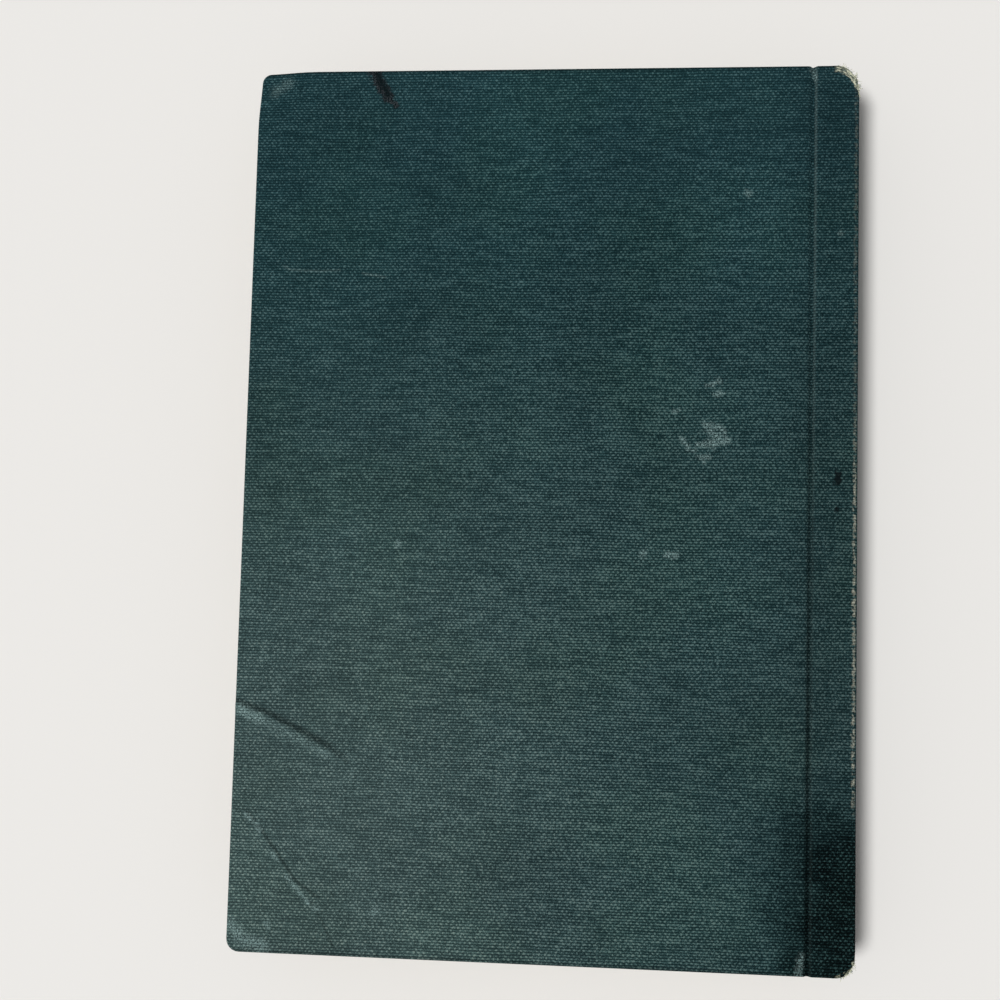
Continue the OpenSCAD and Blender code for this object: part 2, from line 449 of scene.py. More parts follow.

# %% [markdown]
# The long edges of the back are where a shelved book is rubbed most: there the crests of the
# threads have lost their colour. At the ends of the back the cloth has worn through to its
# undyed core. Along the groove the colour holds painted shade at the bottom towards the tail,
# turning into painted light towards the head, with painted light on its wall and a painted
# highlight on the flank of the strip.

# %% Worn edges
RIDGE_U = 65.25
GROOVE_U = 55.75
WALL_U = 55.2
FLANK_U = 56.7
BACK_END = 65.0
HEAD_END = 95.0
STRIP_START = 56.8
GROOVE_SLACK = 0.91
raw_u = flat.x
raw_v = flat.y
uneven = grain.x - 0.5
ridge = (raw_u - RIDGE_U + uneven * 0.7).absolute().ramp(0.50, 0.10)
ridge = ridge * grain.z.ramp(0.38, 0.58) * speckle.ramp(0.26, 0.50)
ridge = ridge * (0.22 + raw_v.ramp(24.0, 2.0) * 0.78) * raw_v.ramp(-64.0, -57.0)


def worn_end(end, radius, width, beside_full, down, near_end):
    """Where the cloth is worn through at one end of the back, and how far out on its arc."""
    straight = BACK_END - radius - STRIP_START
    past = (raw_v * end - (HEAD_END - radius)).at_least(0.0)
    arc = past.math("SQRT", radius ** 2 - past * past)
    beside = (raw_u - STRIP_START - GROOVE_SLACK) * (arc + straight) / (BACK_END - STRIP_START)
    beside = beside - straight
    out = past.vector("LENGTH", past.place(beside, past), output=1)
    worn = (out + width).ramp(radius - 0.20, radius + 0.15) * beside.ramp(-0.4, beside_full)
    worn_down = raw_u + (94.5 - raw_v * end) * 0.30 + (grain.y - 0.5) * 3.0
    return worn * worn_down.ramp(*down) * raw_v.ramp(*near_end), out


width = 0.10 + raw_v.ramp(88.2, 92.5) * 1.25 + uneven * 0.8
head_worn, from_head = worn_end(1, 5.0, width, 0.8, (68.4, 67.0), (87.6, 88.8))
width = 0.45 + uneven * 2.2
tail_worn = worn_end(-1, 4.0, width, 1.0, (67.6, 66.4), (-91.0, -92.2))[0] * 0.8
fibres = flat.place(from_head * 3.2, (raw_u - raw_v) * 0.45).noises(1.0, 1.0)
worn_through = head_worn.at_least(tail_worn) * speckle.ramp(0.26, 0.48)
worn_through = worn_through * (0.22 + fibres.x.ramp(0.38, 0.60) * 0.78)
edge_rub = edge * grain.y.ramp(0.46, 0.72)
towards_head = raw_v.ramp(-60.0, 80.0)
# Painted shade along the bottom of the groove, strongest towards the tail and turning into painted
# light towards the head; then painted light on the groove's left wall towards the head.
groove_shade_and_light = (raw_u - GROOVE_U).absolute().ramp(0.60, 0.10) * (0.44 - towards_head * 0.56)
groove_wall_light = (raw_u - WALL_U).absolute().ramp(0.60, 0.15) * towards_head * 0.50
# A painted highlight on the flank of the strip beside the groove, brighter towards the head.
flank_highlight = (raw_u - FLANK_U).absolute().ramp(0.65, 0.05) * (0.04 + raw_v.ramp(-20.0, 80.0) * 0.20)
rim_shade = raw_v.absolute().ramp(93.9, 94.6) * 0.35

# %% [markdown]
# The colours come last. The cloth is greyer and lighter towards the tail of the fore-edge:
# partly faded where it was held, partly a painted sheen. It is darker towards the back.
# Patches lean to green or to blue.

# %% Cloth finish
patch = flat.noises(0.032, 2.0)
# Greyer and lighter towards the tail of the fore-edge: partly faded cloth, partly a painted sheen
# of light.
fade_and_sheen = raw_v.ramp(58.0, -68.0) * (0.25 + raw_u.ramp(45.0, -50.0) * 0.75)
contrast = 0.90 + raw_v.ramp(95.0, 20.0) * (0.15 + raw_u.ramp(-50.0, 30.0) * 0.45)
body = 0.30 + (body - 0.30) * contrast
# The weave is coloured from painted shade in its gaps, through the thread's dye, to a painted
# highlight on its crests.
dye_and_painted_light = body.ramp(0.0, 0.60).mix(GAP_SHADE, THREAD)
dye_and_painted_light = body.ramp(0.42, 1.10).mix(dye_and_painted_light, CREST_HIGHLIGHT)
dye_and_painted_light = (patch.y.ramp(0.40, 0.70) * 0.4).mix(dye_and_painted_light, dye_and_painted_light.times((1.02, 1.05, 0.90)))
dye_and_painted_light = raw_v.ramp(10.0, 95.0).mix(dye_and_painted_light, dye_and_painted_light.times((0.93, 1.03, 1.09)))
# A pale grey veil, strongest on the thread crests: partly fading, partly painted sheen.
dye_and_painted_light = (fade_and_sheen * (0.02 + body * 0.14)).mix(dye_and_painted_light, (0.44, 0.46, 0.38))
tone = (0.80 + patch.x * 0.44) * (0.80 + fade_and_sheen * 0.29)
tone = tone * (1.0 - raw_u.ramp(46.0, 58.0) * 0.21) * (1.0 - dark_patch * (0.92 - body * 0.26))
tone = tone * (1.0 - fold_shade) * (1.0 - rim_shade)
# The groove's painted shade and painted light.
tone = tone * (1.0 - groove_shade_and_light) * (1.0 + groove_wall_light)
dye_and_painted_light = dye_and_painted_light.times(flat.place(tone, tone, tone))
dye_and_painted_light = dark_patch.mix(dye_and_painted_light, dye_and_painted_light.times((0.66, 0.92, 0.95)))
dirt = (fuzz.x.ramp(0.45, 0.66) * (1.0 - soil_core)).mix(SOIL, SOIL_SPECK)
dye_and_painted_light = (soiled * 0.90).mix(dye_and_painted_light, dirt)
lift = row_body * (0.30 + weft_over * 0.70)
pale = rubbing_and_fold_light * (0.30 + lift * 0.65) + (edge_rub * 0.25 + scratch * 0.5) * lift
# The flank's painted highlight joins the rubbed colour here.
pale = pale + flank_highlight * (0.5 + lift * 0.5)
finish = pale.math("MINIMUM", pale, 1.0).mix(dye_and_painted_light, RUBBED_AND_LIT)
finish = (ridge * (0.42 + lift * 0.45)).mix(finish, WORN_PALE)
finish = (worn_through * (0.55 + speckle * 0.7)).mix(finish, BARE)
dress(cloth_shader, finish, row_body * (0.45 + weft_over * 0.55), 0.14)
print("book_cloth:", len(cloth.node_tree.nodes), "nodes")

# %% [markdown]
# ## Paper, card and thread
# Inside the cloth are papers and boards of several kinds. Each is a cloudy tone with fibres in
# it. Old paper browns from its edges inwards and has rusty spots, called foxing; pulp board and
# card show coarse flecks. One function makes them all from a few numbers, in millimetres of
# the book itself.

# %% Paper and card finishes
FOXED = (0.30, 0.17, 0.07)
PAGE_X, PAGE_Y = 62.0, 92.0


def millimetres(wire):
    """The place on the book, in millimetres."""
    place = wire.node("ShaderNodeTexCoord", output="Object")
    return wire.vector("MULTIPLY", place, (1000, 1000, 1000))


def paper_finish(name, light, dark, fleck, flecks=0.3, foxing=0.0, browned=0.0, depth=0.03):
    """Paper or card from its light, dark and fleck colours and how much of each mark it has."""
    material, shader, wire = new_material(name, 0.85, Specular_IOR_Level=0.2)
    place = millimetres(wire)
    clouds = place.noises(0.035, 3.0, "3D")
    fibres = place.vector("MULTIPLY", place, (0.9, 2.2, 2.2)).noises(1.0, 2.0, "3D")
    colour = clouds.x.ramp(0.25, 0.70).mix(dark, light)
    colour = (fibres.x.ramp(0.50, 0.75) * flecks).mix(colour, fleck)
    spots = place.vector("MULTIPLY", place, (1, 1, 25)).noises(0.22, 1.0, "3D")
    rusty = spots.y.ramp(0.66, 0.80) * clouds.y.ramp(0.40, 0.62)
    colour = (rusty * foxing).mix(colour, FOXED)
    fore = (place.x + PAGE_X).ramp(9.0, 0.0)
    ends = (PAGE_Y - place.y.absolute()).ramp(9.0, 0.0)
    rim = fore.at_least(ends) * clouds.z.ramp(0.2, 0.7)
    colour = (rim * browned).mix(colour, FOXED)
    dress(shader, colour, fibres.y, depth)
    print(f"{name}: {len(material.node_tree.nodes)} nodes")
    return material


end_paper = paper_finish(
    "end_paper", (0.72, 0.62, 0.46), (0.60, 0.49, 0.33), (0.50, 0.40, 0.27),
    flecks=0.25, foxing=0.55, browned=0.40)
greyboard = paper_finish(
    "greyboard", (0.38, 0.33, 0.25), (0.29, 0.25, 0.18), (0.16, 0.13, 0.10),
    flecks=0.8, depth=0.08)
spine_card = paper_finish(
    "spine_card", (0.42, 0.36, 0.27), (0.33, 0.28, 0.20), (0.20, 0.16, 0.11),
    flecks=0.7, depth=0.05)
lining_paper = paper_finish(
    "lining_paper", (0.44, 0.31, 0.18), (0.34, 0.23, 0.13), (0.24, 0.15, 0.08),
    flecks=0.5, depth=0.04)

# %% [markdown]
# The edges of the leaves are thin lines stacked on each other. Noise that is squeezed in height
# and stretched along the edge gives lines of uneven length and tone. The head is the dusty end.

# %% Edges of the leaves
PAGE_LIGHT = (0.72, 0.61, 0.43)
PAGE_DARK = (0.43, 0.32, 0.19)
DUST = (0.30, 0.27, 0.22)

leaf_paper, shader, wire = new_material("leaf_paper", 0.85, Specular_IOR_Level=0.15)
place = millimetres(wire)
lines = place.vector("MULTIPLY", place, (0.05, 0.05, 5.5)).noises(1.0, 3.0, "3D")
fine = place.vector("MULTIPLY", place, (0.4, 0.4, 11.0)).noises(1.0, 1.0, "3D")
clouds = place.noises(0.04, 2.0, "3D")
lined = lines.x.ramp(0.30, 0.62) * (0.65 + fine.x.ramp(0.3, 0.6) * 0.35)
colour = lined.mix(PAGE_DARK, PAGE_LIGHT)
colour = (clouds.x.ramp(0.50, 0.75) * 0.45).mix(colour, FOXED)
dusty = place.y.ramp(91.0, 91.8) * clouds.y.ramp(0.25, 0.65) * 0.5
dress(shader, dusty.mix(colour, DUST), lined, 0.10)
print("leaf_paper:", len(leaf_paper.node_tree.nodes), "nodes")

# %% [markdown]
# Mull is an open gauze of fine cotton, stiff with glue. The sewing thread is linen laid up
# from strands, whose twist shows as slanting bands.

# %% Mull and thread finishes
MULL_PITCH = 0.7
GLUED = (0.30, 0.22, 0.13)
COTTON = (0.66, 0.58, 0.44)
mull_cloth, shader, wire = new_material("mull", 0.9, Specular_IOR_Level=0.2)
place = millimetres(wire)
wobble = place.noises(0.5, 1.0, "3D")
along = (place.y + wobble.x * 0.5) * (math.pi / MULL_PITCH)
across = (place.x + place.z + wobble.y * 0.5) * (math.pi / MULL_PITCH)
strands = along.cosine().absolute().at_least(across.cosine().absolute())
strands = strands.ramp(0.72, 0.95)
colour = (strands * (0.7 + wobble.z * 0.5)).mix(GLUED, COTTON)
dress(shader, colour, strands, 0.12)

TWIST_PITCH = 0.45
linen, shader, wire = new_material("linen_thread", 0.8, Specular_IOR_Level=0.2)
place = millimetres(wire)
slant = place.z + place.x + place.y
twist = (slant * (2 * math.pi / TWIST_PITCH)).cosine()
hairs = place.noises(4.0, 2.0, "3D").x
colour = (twist.ramp(-0.9, 0.4) * (0.6 + hairs * 0.6)).mix((0.40, 0.34, 0.24), (0.76, 0.70, 0.57))
dress(shader, colour, twist.ramp(-1.0, 0.6), 0.05)
print("gauze every", MULL_PITCH, "mm, a twist every", TWIST_PITCH, "mm")

# %% [markdown]
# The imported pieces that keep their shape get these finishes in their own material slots.

# %% Finishes of the kept pieces
FINISHES = {
    "sewing_thread": linen,
    "mull": mull_cloth,
    "spine_lining": lining_paper,
    "spine_inlay": spine_card,
    "front_board": greyboard,
}
for side in ("front", "back"):
    FINISHES[side + "_mull_flange"] = mull_cloth
    FINISHES[side + "_flyleaf"] = end_paper
for node, material in FINISHES.items():
    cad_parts[node].material_slots[0].material = material
print("finishes on", len(FINISHES), "packed pieces")

# %% [markdown]
# ## The case
# A case is one piece of cloth glued round two boards and turned in over their edges. Here
# each cover and its half of the back make one skin. The skin starts as a flat sheet the size of
# the board, cut into a grid. Its edge by the back is pulled down into the groove, over the
# strip, round the ridge and down the back by extruding it step by step. Its other edges are
# then folded round the board's rim, ring by ring, and turned in. Building the fold from one
# short rule keeps the corners, the groove's ends and the back's ends closed.

# %% Sizes of the case
board_low, board_high = box_mm("back_board_cloth")
spine_low, spine_high = box_mm("spine_cloth")
FORE = board_low.x
BACK = spine_high.x
HEAD = board_high.y
TOP = board_high.z
MIDDLE = (spine_low.z + spine_high.z) / 2
GROOVE = board_high.x
COVER_T = board_high.z - board_low.z
TURN_IN = 15.0
RIM = 0.45
SKIN = 0.30
FOLD_T = 0.70
BACK_T = 1.60
CORNER_R = {1: 2.0, -1: 2.7}
WORN_R = {1: 5.0, -1: 4.0}
GRID = 2.5
STEM = GROOVE - 0.55
print("cover", round(GROOVE - FORE, 2), "x", round(2 * HEAD, 2), "mm to the groove")

# %% [markdown]
# The sheet is one face with two rounded corners. Cutting it with planes gives the grid.
# A crease is a narrow ridge in the cloth, so the grid is made finer along the creases only.

# %% Flat sheet of the cover
CREASES = [(CREASE_1, 0.50, 1.0), (CREASE_2, 0.26, 0.7)]
FINER_WITHIN = (3.0, 2.2, 1.6)
EDGE_ROW = 0.5


def to_line(place, points):
    """Distance from a place to a line, which side it is on, and the share of the line passed."""
    best = (1e9, 0.0, 0.0)
    for i, (a, b) in enumerate(zip(points, points[1:])):
        a = Vector(a)
        run = Vector(b) - a
        offset = Vector(place[:2]) - a
        share = min(max(offset.dot(run) / run.length_squared, 0), 1)
        gap = (offset - run * share).length
        if gap < best[0]:
            best = (gap, run.cross(offset) / run.length, (i + share) / (len(points) - 1))
    return best


def cut_across(bm, axis, places):
    """Cuts every face along planes at these places on one axis."""
    normal = Vector([float(i == axis) for i in range(3)])
    for place in places:
        bmesh.ops.bisect_plane(bm, geom=bm.verts[:] + bm.edges[:] + bm.faces[:],
                               plane_co=normal * place, plane_no=normal)


def flat_face(low, high):
    """One flat face between two corners, at the height of the second."""
    bm = bmesh.new()
    bmesh.ops.create_grid(bm, x_segments=1, y_segments=1, size=0.5)
    bmesh.ops.scale(bm, vec=(high.x - low.x, high.y - low.y, 1), verts=bm.verts)
    middle = ((low.x + high.x) / 2, (low.y + high.y) / 2, high.z)
    bmesh.ops.translate(bm, vec=middle, verts=bm.verts)
    return bm


def round_cornered(low, high, inset):
    """A flat face with the corners of a cover, whose edge lies inset from the cover's own."""
    bm = flat_face(low, high)
    for end in (1, -1):
        corner = [v for v in bm.verts if v.co.x < 0 and v.co.y * end > 0]
        bmesh.ops.bevel(bm, geom=corner, affect="VERTICES", offset=CORNER_R[end] - inset,
                        segments=6, profile=0.5, material=-1)
    return bm


def flat_sheet():
    """The cloth of one cover before it is folded, from the fore-edge to the groove."""
    low = Vector((FORE + RIM, -HEAD + RIM, TOP))
    high = Vector((STEM, HEAD - RIM, TOP))
    bm = round_cornered(low, high, RIM)
    for axis, rows in ((0, [low.x + EDGE_ROW]), (1, [low.y + EDGE_ROW, high.y - EDGE_ROW])):
        count = int((high[axis] - low[axis]) / GRID)
        step = (high[axis] - low[axis]) / count
        cut_across(bm, axis, rows + [low[axis] + i * step for i in range(1, count)])
    return bm


def refine_creases(bm):
    """Halves the grid three times near the creases, closer in each time."""
    for reach in FINER_WITHIN:
        near = []
        for e in bm.edges:
            middle = (e.verts[0].co + e.verts[1].co) / 2
            if any(to_line(middle, points)[0] < reach for points, _, _ in CREASES):
                near.append(e)
        bmesh.ops.subdivide_edges(bm, edges=near, cuts=1, use_grid_fill=True)


# %% [markdown]
# The joint in section is a short list of outer points, each with the inner point where the
# turned-in cloth lies behind it. At the ends of the back the card sits between the two, so
# they are further apart there.

# %% Section of the joint and the back
RIDGE_R = 0.6
RIDGE_TURNS = 4
STRIP_PLACES = (57.5, 59.0, 60.5, 62.0, 63.2)
BACK_DROPS = (0.9, 2.0, 4.0, 6.0, 8.0)
SECTION = [
    ((0.30, -0.04), (0.36, -COVER_T)),
    ((0.55, -0.16), (0.52, -1.85)),
    ((0.72, -0.36), (0.66, -1.45)),
    ((0.88, -0.66), (0.84, -1.52)),
    ((1.04, -0.90), (1.02, -1.64)),
    ((1.22, -1.00), (1.24, -1.70)),
    ((1.40, -0.90), (1.42, -1.62)),
    ((1.58, -0.66), (1.62, -1.36)),
    ((1.76, -0.34), (1.84, -1.00)),
    ((1.96, -0.12), (2.04, -0.78)),
    ((2.25, 0.00), (2.30, -0.70)),
]


def extruded(bm, edges):
    """Extrudes edges and returns the new points and the edges between them."""
    made = bmesh.ops.extrude_edge_only(bm, edges=edges)["geom"]
    points = [g for g in made if isinstance(g, bmesh.types.BMVert)]
    kept = set(points)
    return points, [g for g in made if isinstance(g, bmesh.types.BMEdge) and set(g.verts) <= kept]


def pull(bm, edges, shift, inward, weave_step, layers):
    """Extrudes edges by shift and notes for the new points how far in the turned-in cloth lies."""
    points, edges = extruded(bm, edges)
    for v in points:
        v.co += Vector(shift)
        v[layers["inward"]] = Vector(inward)
        v[layers["weave"]] = v[layers["weave"]] + Vector((weave_step, 0, 0))
    return edges


def pull_section(bm, layers):
    """Draws the sheet through the groove, over the strip and down the back."""
    edges = [e for e in bm.edges if all(abs(v.co.x - STEM) < 1e-4 for v in e.verts)]
    x, z = STEM, TOP
    for (dx, dz), (ix, iz) in SECTION:
        goal = (STEM + dx, TOP + dz)
        inner = (STEM + ix, TOP + iz)
        step = (goal[0] - x, 0, goal[1] - z)
        edges = pull(bm, edges, step, (inner[0] - goal[0], 0, inner[1] - goal[1]),
                     Vector(step).length, layers)
        x, z = goal
    strip_end = BACK - RIDGE_R
    behind_card = BACK - BACK_T
    for place in (*STRIP_PLACES, strip_end - 0.3, strip_end):
        inner = min(place, behind_card - 0.1 + 0.02 * (place - 63.0))
        edges = pull(bm, edges, (place - x, 0, 0), (inner - place, 0, -FOLD_T), place - x, layers)
        x = place
    for i in range(1, RIDGE_TURNS + 1):
        angle = math.pi / 2 * i / RIDGE_TURNS
        goal = (strip_end + RIDGE_R * math.sin(angle), TOP - RIDGE_R + RIDGE_R * math.cos(angle))
        inner = (behind_card - 0.05 + 0.0125 * i, TOP - FOLD_T - 0.03 * i)
        inward = (inner[0] - goal[0], 0, inner[1] - goal[1])
        turn_length = RIDGE_R * math.pi / 2 / RIDGE_TURNS
        edges = pull(bm, edges, (goal[0] - x, 0, goal[1] - z), inward, turn_length, layers)
        x, z = goal
    for place in (*[TOP - drop for drop in BACK_DROPS], MIDDLE):
        edges = pull(bm, edges, (0, 0, place - z), (-BACK_T, 0, 0), z - place, layers)
        z = place
    return set(edges)


# %% [markdown]
# Each ring of the fold is the sheet's edge moved outwards and inwards along a section that is
# two quarter turns with the board's thickness between them. The last ring lies 15 mm in from
# the edge, and at a corner all of it meets in one point, as a mitred corner does.

# %% Fold round the rim and turn in
UPPER_TURNS = (30, 60, 90)
LOWER_TURNS = (6, 34, 62, 90)


def outward(place):
    """Direction in which the sheet's edge faces at this place."""
    end = 1 if place.y > 0 else -1
    radius = CORNER_R[end]
    middle = Vector((max(place.x, FORE + radius), end * min(abs(place.y), HEAD - radius), 0))
    return (Vector((place.x, place.y, 0)) - middle).normalized()


def rim_steps(thick):
    """Outward step, inward step and length along the cloth for each ring of the fold."""
    turn = min(RIM, thick / 2)
    steps = []
    for angle in map(math.radians, UPPER_TURNS):
        steps.append((RIM * math.sin(angle), turn * (1 - math.cos(angle)), RIM * angle))
    straight = RIM * math.pi / 2 + thick - 2 * turn
    for angle in map(math.radians, LOWER_TURNS):
        depth = thick - turn * (1 - math.sin(angle))
        steps.append((RIM * math.cos(angle), depth, straight + RIM * angle))
    return steps


def fold_rim(bm, open_edges, layers):
    """Folds every open edge but those along the middle of the back round the rim."""
    edges = [e for e in bm.edges if e.is_boundary and e not in open_edges]
    for v in {v for e in edges for v in e.verts}:
        v[layers["start"]] = v.co
        v[layers["outward"]] = outward(v.co)
    rings = len(UPPER_TURNS) + len(LOWER_TURNS)
    for ring in range(rings + 1):
        points, edges = extruded(bm, edges)
        for v in points:
            start = v[layers["start"]]
            out = v[layers["outward"]]
            inward = v[layers["inward"]]
            thick = inward.length
            steps = rim_steps(thick)
            if ring < rings:
                a, b, length = steps[ring]
                v.co = start + out * a + inward / thick * b
            else:
                v.co = start + inward
                v.co.x = max(v.co.x, FORE + TURN_IN)
                v.co.y = min(max(v.co.y, TURN_IN - HEAD), HEAD - TURN_IN)
                length = steps[-1][2] + (v.co - start - inward).length
            v[layers["weave"]] = v[layers["flat"]] + out * length
            v[layers["edge"]] = 1.0 if ring in (0, 1) and start.x < STEM + 0.1 else 0.0


# %% [markdown]
# Wear changes the shape too. The corners of the back are rounded at the head and the tail,
# the back cover has been knocked at its fore-edge's upper corner, and the creases stand up as
# low ridges that are steep above and gentle below.

# %% Worn shape
STRIP_FIXED = 56.8
KNOCK = Vector((0.64, -0.58, 0))
KNOCK_REACH = 13.0
GENTLE = 2.2


def wear_corners(bm):
    """Draws the ends of the strip and the back in to their worn outline."""
    for v in bm.verts:
        end = 1 if v.co.y > 0 else -1
        radius = WORN_R[end]
        past = abs(v.co.y) - (HEAD - radius)
        if v.co.x > STRIP_FIXED and past > 0:
            reach = BACK - radius + math.sqrt(max(radius ** 2 - past ** 2, 0))
            drawn = (v.co.x - STRIP_FIXED) * (reach - STRIP_FIXED) / (BACK - STRIP_FIXED)
            v.co.x = STRIP_FIXED + drawn


def knock_corner(bm):
    """Pushes the corner of the fore-edge at the head in, and what is near it by less."""
    corner = Vector((FORE, HEAD))
    for v in bm.verts:
        near = max(1 - (v.co.xy - corner).length / KNOCK_REACH, 0)
        v.co += KNOCK * near * near * (3 - 2 * near)


def raise_creases(bm):
    """Lifts the cloth along each crease, more steeply on its upper side."""
    for v in bm.verts:
        if v.co.z < TOP - RIM:
            continue
        for points, height, width in CREASES:
            gap, side, share = to_line(v.co, points)
            reach = width * (1.0 if side > 0 else GENTLE)
            if gap < reach:
                ease = 0.5 + 0.5 * math.cos(math.pi * gap / reach)
                fade_and_sheen = math.sin(math.pi * min(max(share, 0.06), 0.94)) ** 0.5
                v.co.z += height * ease * fade_and_sheen


def case_half(name, front):
    """The cloth of one cover, its joint and its half of the back."""
    bm = flat_sheet()
    if not front:
        refine_creases(bm)
    kinds = bm.verts.layers.float_vector
    layers = {key: kinds.new(key) for key in ("weave", "inward", "start", "outward", "flat")}
    layers["edge"] = bm.verts.layers.float.new("edge")
    for v in bm.verts:
        v[layers["weave"]] = (v.co.x, v.co.y, 0)
        v[layers["inward"]] = (0, 0, -COVER_T)
    middle_edges = pull_section(bm, layers)
    middle_u = max(v[layers["weave"]].x for v in bm.verts)
    for v in bm.verts:
        v[layers["flat"]] = v[layers["weave"]]
    fold_rim(bm, middle_edges, layers)
    bmesh.ops.remove_doubles(bm, verts=bm.verts, dist=0.002)
    bmesh.ops.recalc_face_normals(bm, faces=bm.faces)
    bmesh.ops.solidify(bm, geom=bm.faces[:], thickness=SKIN)
    wear_corners(bm)
    if front:
        for v in bm.verts:
            v.co.z = 2 * MIDDLE - v.co.z
            weave = v[layers["weave"]]
            v[layers["weave"]] = Vector((2 * middle_u - weave.x, weave.y, 0))
        bmesh.ops.reverse_faces(bm, faces=bm.faces)
    else:
        knock_corner(bm)
        raise_creases(bm)
    for key in ("inward", "start", "outward", "flat"):
        kinds.remove(kinds[key])
    return make_piece(name, bm, cloth, turn_out=False)


# %% [markdown]
# A finished bmesh has its faces turned outwards, is scaled to metres and becomes an object at
# the origin. Faces that meet at a low angle are shaded as one curved surface. The case's faces
# were turned before it got its thickness, so they are left alone here.

# %% Finish a piece
SMOOTH_UP_TO = math.radians(42)


def make_piece(name, bm, material, turn_out=True):
    """An object in metres from a bmesh in millimetres."""
    if turn_out:
        bmesh.ops.recalc_face_normals(bm, faces=bm.faces)
    bmesh.ops.scale(bm, vec=(MM, MM, MM), verts=bm.verts)
    mesh = bpy.data.meshes.new(name)
    bm.to_mesh(mesh)
    bm.free()
    mesh.materials.append(material)
    mesh.shade_smooth()
    mesh.set_sharp_from_angle(angle=SMOOTH_UP_TO)
    piece = bpy.data.objects.new(name, mesh)
    bpy.context.scene.collection.objects.link(piece)
    heights = [v.co.z / MM for v in mesh.vertices]
    print(f"{name}: {len(mesh.polygons)} faces, z {min(heights):.2f} to {max(heights):.2f} mm")
    return piece


# %% [markdown]
# Each half of the case is made as one piece and left where it is made, not attached to the
# block or a cover. On the real book only the millimetre or so of cloth in the groove bends when
# a cover opens.

for side in ("back", "front"):
    piece = case_half(side + "_case_cloth", side == "front")
    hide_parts(side + "_board_cloth", "spine_cloth")
    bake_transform(piece)

# %% [markdown]
# The board of the back cover was knocked together with its cloth, so it has the same corner.

# %% Knocked board
BOARD_CUTS = 6


def knocked_board(name):
    """The board of the back cover."""
    low, high = box_mm("back_board")
    bm = round_cornered(low, high, low.x - FORE)
    steps = [i * GRID for i in range(1, BOARD_CUTS + 1)]
    cut_across(bm, 0, [low.x + step for step in steps])
    cut_across(bm, 1, [high.y - step for step in steps])
    bmesh.ops.solidify(bm, geom=bm.faces[:], thickness=high.z - low.z)
    knock_corner(bm)
    return make_piece(name, bm, greyboard)


piece = knocked_board("back_knocked_board")
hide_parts("back_board")
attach(piece, "back_cover")

# %% [markdown]
# ## Paper in the joints
# Each end paper is one folded sheet: half is pasted inside the cover, half is the first free
# leaf. Between them it lines the joint: up the shoulder of the pages, across under the groove
# and down the edge of the board. It is drawn as a line of points from the fold of the free
# leaf, pulled from tail to head, and given its thickness. On a real book only the part across
# the joint bends when the cover opens; the ends of that part, on a line square to the shoulder,
# are worked out below but not used.

# %% Joint papers
PAPER_T = 0.12
leaf_low, leaf_high = box_mm("back_flyleaf")
paste_low, paste_high = box_mm("back_pastedown")
FOLD_X = leaf_high.x
FOLD_Z = (leaf_low.z + leaf_high.z) / 2
SHOULDER_RUN = Vector((0.52, 0, 1.0))
SPAN = 0.78
SPAN_RISE = 0.16
SPAN_PARTS = 14
PAPER_ROWS = 24


def joint_path():
    """Points of the paper's section, from the free leaf's fold to the pasted half."""
    fold = Vector((FOLD_X, 0, FOLD_Z))
    path = [fold, fold + SHOULDER_RUN * 0.5]
    for i in range(SPAN_PARTS + 1):
        share = i / SPAN_PARTS
        rise = SPAN_RISE * math.sin(math.pi * share)
        path.append(fold + SHOULDER_RUN + Vector((-SPAN * share, 0, rise)))
    path += [fold + Vector((-0.33, 0, 0.70)), fold + Vector((-0.42, 0, 0.28))]
    path.append(Vector((paste_high.x, 0, paste_low.z + PAPER_T / 2)))
    return path


def to_front(bm):
    """Mirrors what was made for the back cover's side to the front cover's."""
    bmesh.ops.scale(bm, vec=(1, 1, -1), verts=bm.verts)
    bmesh.ops.translate(bm, vec=(0, 0, 2 * MIDDLE), verts=bm.verts)


def joint_paper(name, front):
    """The end paper where it crosses a joint."""
    bm = bmesh.new()
    path = joint_path()
    points = [bmesh.ops.create_vert(bm, co=p + Vector((0, leaf_low.y, 0)))["vert"][0] for p in path]
    for a, b in zip(points, points[1:]):
        bmesh.ops.contextual_create(bm, geom=[a, b])
    far_points = extruded(bm, bm.edges[:])[0]
    run = leaf_high.y - leaf_low.y
    bmesh.ops.translate(bm, vec=(0, run, 0), verts=far_points)
    cut_across(bm, 1, [leaf_low.y + i * run / PAPER_ROWS for i in range(1, PAPER_ROWS)])
    bmesh.ops.solidify(bm, geom=bm.faces[:], thickness=PAPER_T)
    if front:
        to_front(bm)
    return make_piece(name, bm, end_paper)


ACROSS = Vector((-1, 0, 0.52)).normalized()
BENT = (0.02, 0.44)
for side in ("back", "front"):
    piece = joint_paper(side + "_joint_paper", side == "front")
    limits = [Vector((FOLD_X, 0, FOLD_Z)) + ACROSS * reach for reach in BENT]
    if side == "front":
        limits = [Vector((p.x, 0, 2 * MIDDLE - p.z)) for p in limits]
    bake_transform(piece)

# %% [markdown]
# ## Pasted papers
# The half of each end paper that is pasted inside its cover shows what lies under it. The
# turned-in cloth on three sides and the mull along the joint stand up as soft steps, because
# damp paper bridges an edge instead of following it closely.

# %% Pasted papers
PASTED_T = 0.15
BRIDGED = 1.3
STEP_PARTS = 6
flange_low, flange_high = box_mm("back_mull_flange")
MULL_RISE = 0.25
CLOTH_RISE = paste_high.z - paste_low.z - PASTED_T


def eased(value, low, high):
    """0 at low and 1 at high, eased at both ends."""
    share = min(max((value - low) / (high - low), 0), 1)
    return share * share * (3 - 2 * share)


